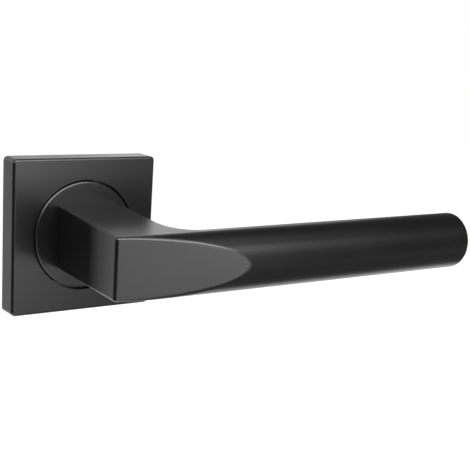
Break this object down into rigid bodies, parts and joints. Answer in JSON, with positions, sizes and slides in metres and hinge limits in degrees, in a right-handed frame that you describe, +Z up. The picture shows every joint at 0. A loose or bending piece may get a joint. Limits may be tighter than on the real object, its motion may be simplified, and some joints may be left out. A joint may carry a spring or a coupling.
{
  "type": "door lever handle",
  "caption": "Right-pointing lever door handle: a round grip whittled flat at its square elbow, on a square sprung rose with a spindle, for one side of a door.",
  "frame": {"origin": "on the spindle's axis, in the plane of the door's face, which is the rose's back", "axes": "+X along the grip, away from the spindle; +Y into the door, along the spindle; +Z up"},
  "size_m": [0.153, 0.111, 0.052],
  "materials": {
    "black_powder_coat": "satin black powder coat on a zinc alloy casting",
    "die_cast_zinc": null,
    "natural_nylon": "natural off-white nylon, moulded",
    "zinc_plated_steel": "bright zinc plate on steel",
    "spring_steel": "drawn and rolled spring steel, oiled",
    "black_oxide_steel": "blackened steel"
  },
  "bodies": {
    "rose": {"rose_cover": "black_powder_coat", "mounting_plate": "die_cast_zinc", "bearing_bush": "natural_nylon", "cassette_lid": "zinc_plated_steel", "lid_screw_1": "zinc_plated_steel", "lid_screw_2": "zinc_plated_steel", "lid_screw_3": "zinc_plated_steel", "lid_screw_4": "zinc_plated_steel", "thrust_washer": "natural_nylon", "wood_screw_1": "zinc_plated_steel", "wood_screw_2": "zinc_plated_steel", "wood_screw_3": "zinc_plated_steel", "wood_screw_4": "zinc_plated_steel", "cover_clip_1": "spring_steel", "cover_clip_2": "spring_steel", "cover_clip_3": "spring_steel", "cover_clip_4": "spring_steel", "return_spring_upper": "spring_steel", "return_spring_lower": "spring_steel"},
    "lever": {"lever": "black_powder_coat", "neck_disc": "black_powder_coat", "spring_follower": "zinc_plated_steel", "circlip": "black_oxide_steel", "spindle": "zinc_plated_steel", "grub_screw": "black_oxide_steel"}
  },
  "joints": [
    {"name": "lever_turn", "type": "hinge", "parent": "rose", "child": "lever", "pos_m": [0, 0, 0], "axis": [0, 1, 0], "range_deg": [0, 45], "stiffness_Nm_per_rad": 1.2, "springref_deg": -25.78, "deforming": ["return_spring_upper", "return_spring_lower"]}
  ]
}
